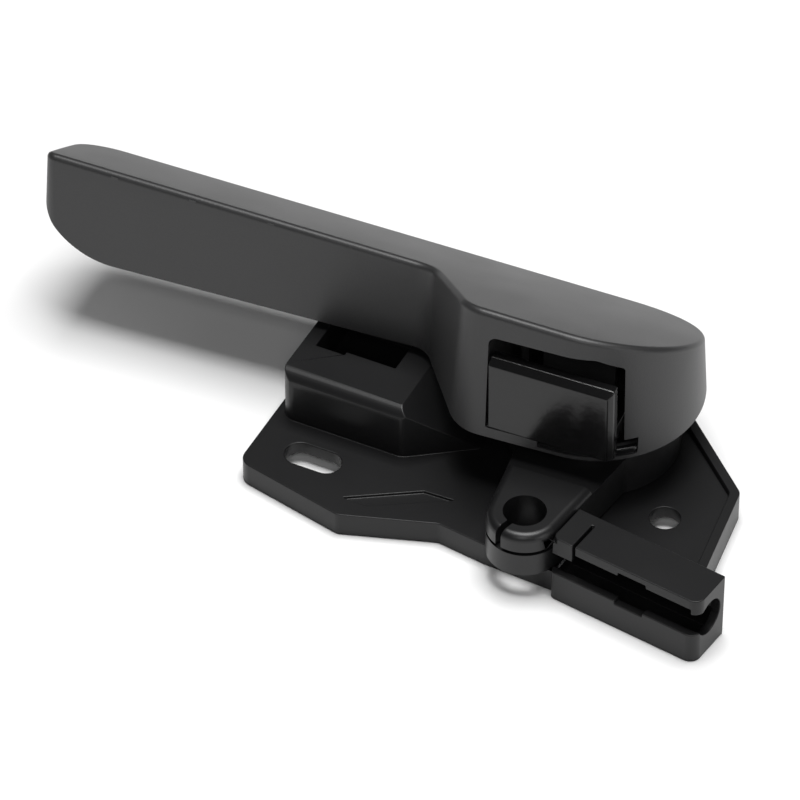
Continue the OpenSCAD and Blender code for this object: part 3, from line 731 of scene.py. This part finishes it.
    def build(self) -> bpy.types.Object:
        """Model the whole handle and turn it to its rest angle.

        Returns:
            The finished shell, which rides on the lever.
        """
        shell = self.skin()
        sill = self.lower_edge + self.window_sill
        cut_with(shell, self.tip_cutter())
        cut_with(shell, self.window_cutter(sill))
        cut_with(shell, self.catch_cutter(sill))
        cut_with(shell, self.recess_cutter(sill))
        round_edges(shell, self.rim_edge, self.rim_steps, self.rim_angle)
        parts = [shell, *self.ribs()]
        deselect_all()
        for part in parts:
            part.select_set(True)
        bpy.context.view_layer.objects.active = shell
        bpy.ops.object.join()
        turn(shell, REST_TURN_DEG)
        smooth(shell, self.crease_deg)
        dress(shell, HANDLE_PLASTIC)
        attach(shell, Body.LEVER.value)
        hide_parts("handle")
        return shell

    def window_cutter(self, sill: float) -> bpy.types.Object:
        """Shape the front window, with a leaning right side and a slanting right top corner.

        Args:
            sill: Height of the window's sill.

        Returns:
            The cutter.
        """
        top, right = sill + self.window_h, self.window_right - self.window_lean
        corners = [Vector(p) for p in (
            (-self.window_left, sill), (self.window_right, sill),
            (right, top - self.window_slant[1]), (right - self.window_slant[0], top),
            (-self.window_left, top))]
        radii = (self.sill_r, self.sill_r, self.window_slant_r, 2 * self.window_r, self.window_r)
        steps = 6
        outline: list[Vector] = []
        for i, radius in enumerate(radii):
            after = corners[(i + 1) % len(corners)]
            outline += corner_arc(corners[i - 1], corners[i], after, radius, steps)
        return add_prism("window_cutter", [tuple(p) for p in outline], self.cut_front,
                         -self.window_floor, along_y=True)

    def catch_cutter(self, sill: float) -> bpy.types.Object:
        """Shape the notch beside the window's lower right corner.

        Args:
            sill: Height of the window's sill.

        Returns:
            The cutter.
        """
        left, right = self.window_right - self.catch_overlap, self.window_right + self.catch_w
        return add_box("catch_cutter", (left, self.cut_front, sill),
                       (right, -self.window_floor, sill + self.catch_h))

    def tip_cutter(self) -> bpy.types.Object:
        """Shape what the rounding of the tip's lower corner takes away, seen from the front.

        Returns:
            The cutter.
        """
        r, steps = self.tip_low_r, 24
        x, z = -self.tip_x + r, self.lower_edge + r
        angles = [math.pi / 2 * i / steps for i in range(steps + 1)]
        arc = [(x - r * math.cos(a), z - r * math.sin(a)) for a in angles]
        beyond, below = -self.tip_x - self.cut_past, self.lower_edge - 2
        front, back = -30, 40
        corners = [(x, below), (beyond, below), (beyond, z)]
        return add_prism("tip_cutter", arc + corners, front, back, along_y=True)

    def recess_cutter(self, sill: float) -> bpy.types.Object:
        """Shape the recess over the window's sill, where the clip's foot lies.

        Args:
            sill: Height of the window's sill.

        Returns:
            The cutter, which reaches a little into the window.
        """
        inner, right = self.head_r - self.foot_t, self.window_right + self.catch_w
        end, steps, front, overlap = math.asin(right / inner), 12, -30, 0.05
        angles = [end * i / steps for i in range(steps, -1, -1)]
        arc = [(inner * math.sin(a), -inner * math.cos(a)) for a in angles]
        outline = [(-self.foot_left, -inner), (-self.foot_left, front), (right, front), *arc]
        return add_prism("recess_cutter", outline, sill - self.foot_drop, sill + overlap)

    def ribs(self) -> list[bpy.types.Object]:
        """Model the grip's cross ribs, the clip's guide rib and the four plates of the socket.

        Returns:
            The plates, still as pieces of their own.
        """
        half_t = self.rib_t / 2
        sunk = 0.8               # share of the wall that the guide rib reaches into
        bite = self.head_r - sunk * self.wall
        made = [self.plate("guide_rib", (-self.window_left - self.rib_t, -self.window_left),
                           (-bite, bite), self.lower_edge + self.guide_lift, self.inner_draft)]
        for i in range(1, self.grip_ribs + 1):
            x = -self.neck_grip - (self.tip_x - self.neck_grip) * i / (self.grip_ribs + 1)
            ys = (self.grip_rib_inset - self.grip_front, self.grip_back - self.grip_rib_inset)
            made.append(self.plate(f"rib_{i}", (x - half_t, x + half_t), ys,
                                   self.lower_edge + self.rib_lift))
        half_x, half_y = self.socket_half
        for side in (-1, 1):
            x, y = side * (half_x + half_t), side * (half_y + half_t)
            made.append(self.plate(f"socket_x{side}", (x - half_t, x + half_t),
                                   (-half_y, half_y), self.socket_z))
            made.append(self.plate(f"socket_y{side}", (-self.socket_span, self.socket_span),
                                   (y - half_t, y + half_t), self.socket_z))
        return made

    def plate(self, name: str, xs: Point, ys: Point, low: float,
              lean: float = 0.0) -> bpy.types.Object:
        """Model one inner plate whose top follows the handle's ceiling.

        Args:
            name: Name of the plate.
            xs: Its two sides.
            ys: Its two ends.
            low: Height of its lower edge.
            lean: How far its ends lean inwards at the top.

        Returns:
            The plate.
        """
        tall = 10
        box = add_box(name, (xs[0], ys[0], low), (xs[1], ys[1], low + tall))
        for vertex in box.data.vertices:
            if vertex.co.z > (low + tall / 2) * MM:
                vertex.co.y -= math.copysign(lean * MM, vertex.co.y)
                x, y = vertex.co.x / MM, vertex.co.y / MM
                vertex.co.z = (self.top(x, y) - self.ceiling / 2) * MM
        return box


@dataclass
class Moulding:
    """A moulded piece that is a rounded copy of its solid."""

    node: str
    name: str
    finish: MouldedPlastic
    body: Body
    slot: str
    edge: float
    edge_clamped: bool = False

    def shape(self, piece: bpy.types.Object) -> None:
        """Change the copy before its edges are rounded, where a piece needs it."""

    def build(self) -> bpy.types.Object:
        """Copy the solid, shape, round and dress it.

        Returns:
            The finished piece.
        """
        piece = refined_copy(self.node, self.name)
        self.shape(piece)
        round_edges(piece, self.edge, clamped=self.edge_clamped)
        smooth(piece)
        dress(piece, self.finish)
        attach(piece, self.body.value)
        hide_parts(self.node)
        return piece


@dataclass
class Bracket(Moulding):
    """The bracket: plate, platform, post and cable channel."""

    node: str = "bracket"
    name: str = "bracket_moulding"
    finish: MouldedPlastic = BRACKET_PLASTIC
    body: Body = Body.BASE
    slot: str = "bracket_plastic"
    edge: float = 0.22
    foot_edge: float = 0.9
    foot_steps: int = 3
    foot_z: float = 0.05

    def shape(self, piece: bpy.types.Object) -> None:
        """Round the bottom edges more than the others."""
        bevel_some(piece, self.foot_edge, self.foot_steps,
                   lambda a, b: max(a.z, b.z) < self.foot_z)


@dataclass
class CableLever(Moulding):
    """The cable lever: drum, arm, nipple eye and drive tower."""

    node: str = "cable_lever"
    name: str = "cable_lever_moulding"
    finish: MouldedPlastic = LEVER_PLASTIC
    body: Body = Body.LEVER
    slot: str = "lever_plastic"
    edge: float = 0.45
    edge_clamped: bool = True


@dataclass
class LockingClip(Moulding):
    """The locking clip, whose face and foot fit the handle's window."""

    node: str = "locking_clip"
    name: str = "locking_clip_moulding"
    finish: MouldedPlastic = CLIP_PLASTIC
    body: Body = Body.LEVER
    slot: str = "clip_plastic"
    edge: float = 0.3
    face_right: float = 12.9
    face_lean: float = 0.3
    face_back: float = -21.3
    face_low: float = 23.9
    arm_span: Point = (24.6, 31.0)
    mid_z: float = 30.0
    side_bevel: float = 1.2
    foot_right: float = 16.0
    edge_tall: float = 12.0
    edge_right: float = 10.0
    edge_front: float = -24.0

    def shape(self, piece: bpy.types.Object) -> None:
        """Narrow the face and the foot to the window, and bevel the face's right edge."""
        turn(piece, -REST_TURN_DEG)
        low, high = self.arm_span
        front, below, past = -40, 20, 30
        cut_with(piece, add_box("foot_end", (self.foot_right, front, below), (past, 0, low)))
        for vertex in piece.data.vertices:
            x, y, z = vertex.co / MM
            on_face = z > self.face_low and y < self.face_back and not low < z < high
            if on_face and x > self.face_right:
                vertex.co.x = (self.face_right - self.face_lean * (z > self.mid_z)) * MM
        bevel_some(piece, self.side_bevel, 1, self.is_right_edge)
        turn(piece, REST_TURN_DEG)

    def is_right_edge(self, a: Vector, b: Vector) -> bool:
        """Tell whether an edge is the upright one at the right of the face's front.

        Args:
            a: One end of the edge, in millimetres.
            b: Its other end.
        """
        tall, right = abs(a.z - b.z) > self.edge_tall, min(a.x, b.x) > self.edge_right
        return tall and right and max(a.y, b.y) < self.edge_front


class PivotStack:
    """The hidden pieces round the pivot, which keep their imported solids."""

    def dress(self) -> None:
        """Give each hidden piece its finish."""
        for node, finish in (("slip_washer", WASHER_PLASTIC), ("return_spring", SPRING_STEEL),
                             ("retaining_washer", ZINC_STEEL), ("pivot_screw", ZINC_STEEL)):
            dress(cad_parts[node], finish)
            log.info("%s: dressed", node)


@dataclass(frozen=True)
class Softbox:
    """A square light that faces the part."""

    name: str
    at: Spot
    size: float
    power: float

    def add(self) -> None:
        """Add the light to the scene."""
        data = bpy.data.lights.new(self.name, "AREA")
        data.shape = "SQUARE"
        data.size = self.size
        data.energy = self.power
        light = bpy.data.objects.new(self.name, data)
        light.location = self.at
        light.rotation_euler = (-Vector(self.at)).to_track_quat("-Z", "Y").to_euler()
        bpy.context.scene.collection.objects.link(light)


@dataclass
class Studio:
    """Camera, floor and lights."""

    camera_at: Spot = (0.381256, -0.871139, 0.893488)
    camera_tilt_deg: float = 47.3
    camera_turn_deg: float = 26.2
    lens_mm: float = 266.2
    sensor_mm: float = 36.0
    view_end: float = 20.0
    floor_size: float = 6.0
    floor_tone: float = 0.86
    floor_roughness: float = 0.8
    floor_specular: float = 0.1
    sky_strength: float = 0.07
    lights: tuple[Softbox, ...] = (
        Softbox("top_light", (0.0, 0.1, 1.7), 0.9, 34.0),
        Softbox("front_light", (0.35, -1.1, 1.1), 0.5, 4.0),
        Softbox("side_light", (1.2, -0.35, 0.5), 0.6, 3.0))

    def camera(self) -> None:
        """Add the camera at the photograph's viewing angle."""
        data = bpy.data.cameras.new("camera")
        data.lens = self.lens_mm
        data.sensor_width = self.sensor_mm
        data.clip_end = self.view_end
        camera = bpy.data.objects.new("camera", data)
        camera.location = self.camera_at
        camera.rotation_euler = (math.radians(self.camera_tilt_deg), 0,
                                 math.radians(self.camera_turn_deg))
        bpy.context.scene.collection.objects.link(camera)
        bpy.context.scene.camera = camera

    def floor(self) -> None:
        """Add the plain pale floor."""
        deselect_all()
        bpy.ops.mesh.primitive_plane_add(size=self.floor_size, location=(0, 0, 0))
        floor = new_piece("floor")
        pale = bpy.data.materials.new("floor_pale")
        pale.use_nodes = True
        shader = pale.node_tree.nodes["Principled BSDF"]
        shader.inputs["Base Color"].default_value = (*[self.floor_tone] * 3, 1)
        shader.inputs["Roughness"].default_value = self.floor_roughness
        shader.inputs["Specular IOR Level"].default_value = self.floor_specular
        floor.data.materials.append(pale)

    def build(self) -> None:
        """Set up the whole studio."""
        self.camera()
        self.floor()
        for light in self.lights:
            light.add()
        world = bpy.data.worlds.new("studio")
        world.use_nodes = True
        sky = world.node_tree.nodes["Background"]
        sky.inputs["Color"].default_value = (1.0, 1.0, 1.0, 1)
        sky.inputs["Strength"].default_value = self.sky_strength
        bpy.context.scene.world = world
        bpy.context.scene.view_settings.view_transform = "Standard"


def main() -> None:
    """Build every sub-assembly in order."""
    logging.basicConfig(level=logging.INFO, format="%(message)s")
    Studio().build()
    PivotStack().dress()
    for maker in (Bracket(), CableLever(), LockingClip(), HandleShell()):
        piece = maker.build()
        log.info("%s: %d faces", piece.name, len(piece.data.polygons))


if __name__ == "__main__":
    main()
